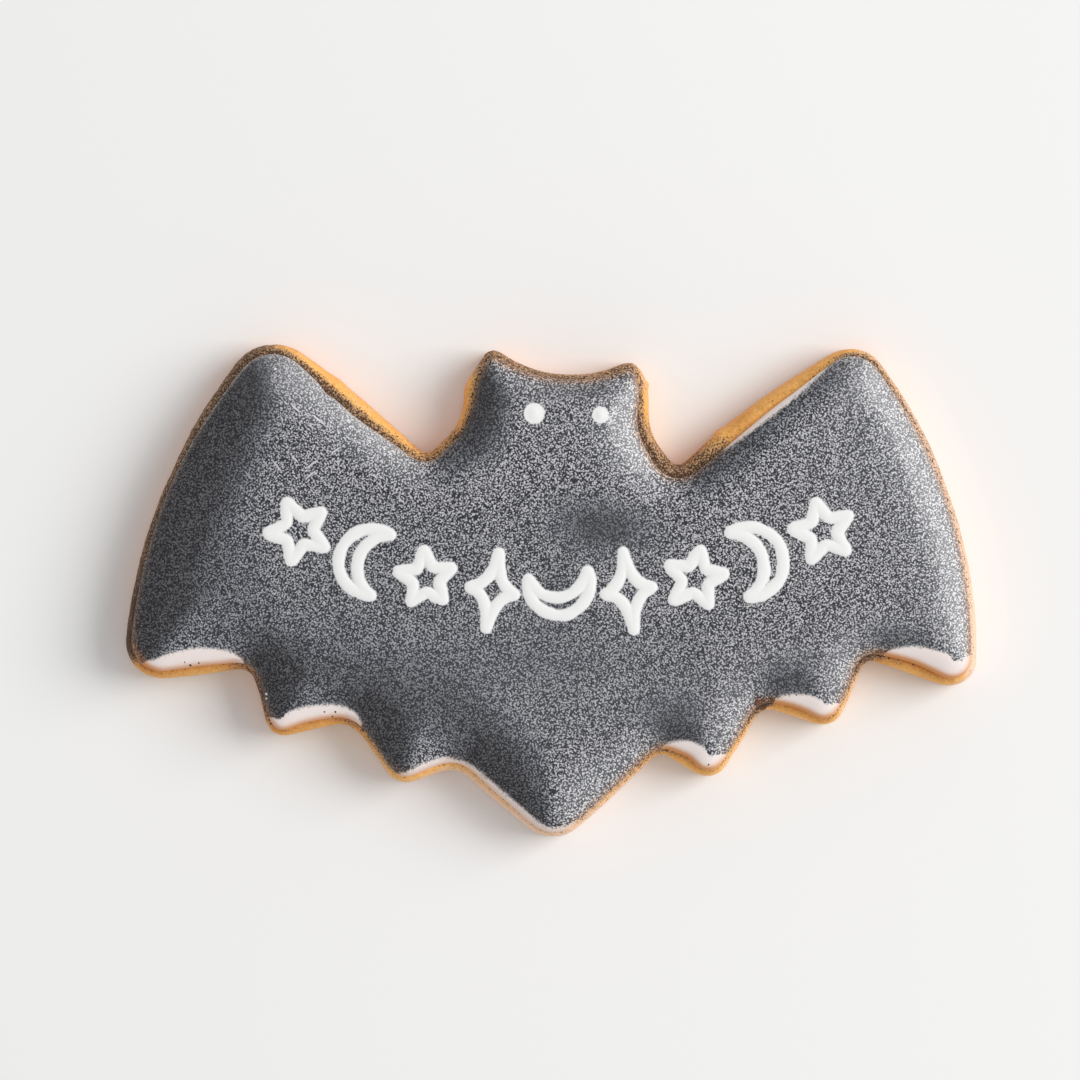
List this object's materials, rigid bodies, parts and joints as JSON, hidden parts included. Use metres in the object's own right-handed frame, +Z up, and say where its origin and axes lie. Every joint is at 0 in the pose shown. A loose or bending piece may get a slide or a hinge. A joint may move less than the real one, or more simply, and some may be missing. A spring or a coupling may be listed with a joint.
{
  "type": "iced sugar cookie",
  "caption": "Bat-shaped iced sugar cookie: a flat baked biscuit under puffed, sprayed icing with white eyes and a row of white star, moon and sparkle outlines.",
  "frame": {"origin": "middle of the flat base: the centre of the bounding box, on the surface the cookie lies on", "axes": "+X along the wing span to the right as the cookie is looked at from above, +Y towards the ears, +Z up"},
  "size_m": [0.1104, 0.064, 0.0093],
  "materials": {
    "crust": "dry baked dough, golden with browner streaks",
    "icing": "hard white sugar icing under a fine black speckled spray, satin"
  },
  "bodies": {
    "root": {"biscuit": "crust", "icing": "icing"}
  },
  "joints": []
}
